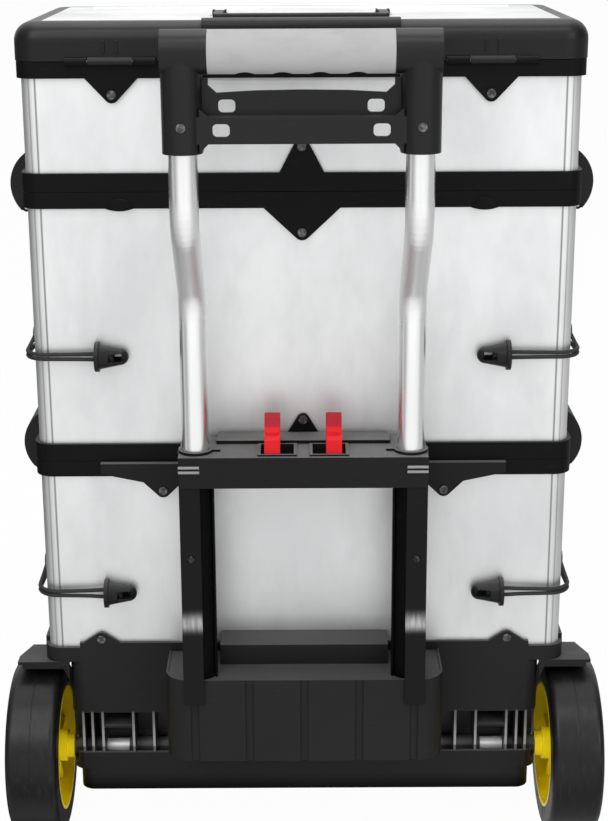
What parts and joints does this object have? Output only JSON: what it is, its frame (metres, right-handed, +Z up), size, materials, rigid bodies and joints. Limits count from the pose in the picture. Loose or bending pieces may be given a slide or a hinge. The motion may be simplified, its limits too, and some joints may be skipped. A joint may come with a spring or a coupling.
{
  "type": "rolling tool box",
  "caption": "Wheeled stack of steel-clad tool boxes with black frames, drawers, lid, side latches and a telescopic pull handle.",
  "frame": {"origin": "Middle of the floor area that the box covers, on the floor.", "axes": "+Z up, +X to the right seen from the handle side, +Y towards the drawers."},
  "size_m": [0.532, 0.3511, 0.7156],
  "materials": {
    "black_plastic": "fine-grained black moulded plastic",
    "sheet_steel": "bright thin stainless sheet with faint streaks",
    "zinc_steel": "zinc-plated steel",
    "chrome_tube": "polished chromed tube",
    "grip_rubber": "light grey soft grip",
    "red_plastic": "bright red moulded plastic",
    "yellow_plastic": "bright yellow moulded plastic",
    "tyre_rubber": "black tread",
    "pad_rubber": "black foot pad",
    "cord_elastic": "black elastic cord",
    "yoke_plastic": "black moulded plastic, smoother than the boxes",
    "lid_plastic": "black moulded plastic with a soft sheen",
    "tray_plastic": "dark grey moulded plastic"
  },
  "bodies": {
    "chassis": {"base": "black_plastic", "foot_pads": "pad_rubber", "bin_shell": "sheet_steel", "bin_rim": "black_plastic", "bin_screws": "zinc_steel", "fender_left": "black_plastic", "fender_right": "black_plastic", "axle": "zinc_steel", "axle_caps": "black_plastic", "crossbar": "black_plastic", "leg_left": "black_plastic", "leg_right": "black_plastic", "leg_straps": "black_plastic", "tube_collars": "black_plastic", "bin_latch_pins": "zinc_steel", "cord_anchors_bin": "black_plastic", "cords_bin": "cord_elastic"},
    "wheel_left": {"hub_left": "yellow_plastic", "tyre_left": "tyre_rubber"},
    "wheel_right": {"hub_right": "yellow_plastic", "tyre_right": "tyre_rubber"},
    "handle": {"tube_left": "chrome_tube", "tube_right": "chrome_tube", "tube_plugs": "black_plastic", "yoke": "yoke_plastic", "grip": "grip_rubber", "yoke_pins": "zinc_steel"},
    "release_left": {"lever_left": "red_plastic", "lock_bar_left": "zinc_steel"},
    "release_right": {"lever_right": "red_plastic", "lock_bar_right": "zinc_steel"},
    "cabinet": {"cabinet_sill": "black_plastic", "cabinet_shell": "sheet_steel", "cabinet_rim": "black_plastic", "cabinet_screws": "zinc_steel", "drawer_runners": "zinc_steel", "cabinet_latch_pins": "zinc_steel", "cord_anchors_cabinet": "black_plastic", "cords_cabinet": "cord_elastic"},
    "lower_drawer": {"drawer_lower": "sheet_steel", "drawer_lower_pull": "black_plastic"},
    "upper_drawer": {"drawer_upper": "sheet_steel", "drawer_upper_pull": "black_plastic"},
    "toolbox": {"toolbox_sill": "black_plastic", "toolbox_shell": "sheet_steel", "toolbox_rim": "black_plastic", "toolbox_screws": "zinc_steel", "hinge_pins": "zinc_steel"},
    "lift_tray": {"tray": "tray_plastic"},
    "lid": {"lid_frame": "lid_plastic", "lid_plate": "sheet_steel", "carry_handle_pins": "zinc_steel", "clasp_pins": "zinc_steel"},
    "top_handle": {"carry_handle": "black_plastic"},
    "front_latch_left": {"clasp_left": "black_plastic"},
    "front_latch_right": {"clasp_right": "black_plastic"},
    "side_latch_upper_left": {"latch_upper_left": "black_plastic"},
    "side_latch_upper_right": {"latch_upper_right": "black_plastic"},
    "side_latch_lower_left": {"latch_lower_left": "black_plastic"},
    "side_latch_lower_right": {"latch_lower_right": "black_plastic"}
  },
  "joints": [
    {"name": "wheel_left_spin", "type": "hinge", "parent": "chassis", "child": "wheel_left", "pos_m": [-0.235, -0.03425, 0.076], "axis": [1, 0, 0], "continuous": true},
    {"name": "wheel_right_spin", "type": "hinge", "parent": "chassis", "child": "wheel_right", "pos_m": [0.235, -0.03425, 0.076], "axis": [1, 0, 0], "continuous": true},
    {"name": "handle_slide", "type": "slide", "parent": "chassis", "child": "handle", "axis": [0, 0, 1], "range_m": [0, 0.15]},
    {"name": "lever_left_squeeze", "type": "slide", "parent": "chassis", "child": "release_left", "axis": [1, 0, 0], "range_m": [0, 0.008], "stiffness_N_per_m": 400, "springref_m": -0.004},
    {"name": "lever_right_squeeze", "type": "slide", "parent": "chassis", "child": "release_right", "axis": [-1, 0, 0], "range_m": [0, 0.008], "stiffness_N_per_m": 400, "springref_m": -0.004},
    {"name": "cabinet_lift", "type": "slide", "parent": "chassis", "child": "cabinet", "axis": [0, 0, 1], "range_m": [0, 0.25]},
    {"name": "lower_drawer_slide", "type": "slide", "parent": "cabinet", "child": "lower_drawer", "axis": [0, 1, 0], "range_m": [0, 0.15]},
    {"name": "upper_drawer_slide", "type": "slide", "parent": "cabinet", "child": "upper_drawer", "axis": [0, 1, 0], "range_m": [0, 0.15]},
    {"name": "toolbox_lift", "type": "slide", "parent": "cabinet", "child": "toolbox", "axis": [0, 0, 1], "range_m": [0, 0.25]},
    {"name": "tray_lift", "type": "slide", "parent": "toolbox", "child": "lift_tray", "axis": [0, 0, 1], "range_m": [0, 0.024]},
    {"name": "lid_hinge", "type": "hinge", "parent": "toolbox", "child": "lid", "pos_m": [0, -0.05535, 0.681], "axis": [1, 0, 0], "range_deg": [0, 95]},
    {"name": "top_handle_fold", "type": "hinge", "parent": "lid", "child": "top_handle", "pos_m": [0, 0.02575, 0.7134], "axis": [-1, 0, 0], "range_deg": [0, 90]},
    {"name": "front_latch_left_swing", "type": "hinge", "parent": "lid", "child": "front_latch_left", "pos_m": [-0.118, 0.16965, 0.6882], "axis": [1, 0, 0], "range_deg": [0, 90]},
    {"name": "front_latch_right_swing", "type": "hinge", "parent": "lid", "child": "front_latch_right", "pos_m": [0.118, 0.16965, 0.6882], "axis": [1, 0, 0], "range_deg": [0, 90]},
    {"name": "side_latch_upper_left_swing", "type": "hinge", "parent": "cabinet", "child": "side_latch_upper_left", "pos_m": [-0.2309, 0.05575, 0.5559], "axis": [0, -1, 0], "range_deg": [0, 80]},
    {"name": "side_latch_upper_right_swing", "type": "hinge", "parent": "cabinet", "child": "side_latch_upper_right", "pos_m": [0.2309, 0.05575, 0.5559], "axis": [0, 1, 0], "range_deg": [0, 80]},
    {"name": "side_latch_lower_left_swing", "type": "hinge", "parent": "chassis", "child": "side_latch_lower_left", "pos_m": [-0.2309, 0.05575, 0.3285], "axis": [0, -1, 0], "range_deg": [0, 80]},
    {"name": "side_latch_lower_right_swing", "type": "hinge", "parent": "chassis", "child": "side_latch_lower_right", "pos_m": [0.2309, 0.05575, 0.3285], "axis": [0, 1, 0], "range_deg": [0, 80]}
  ]
}
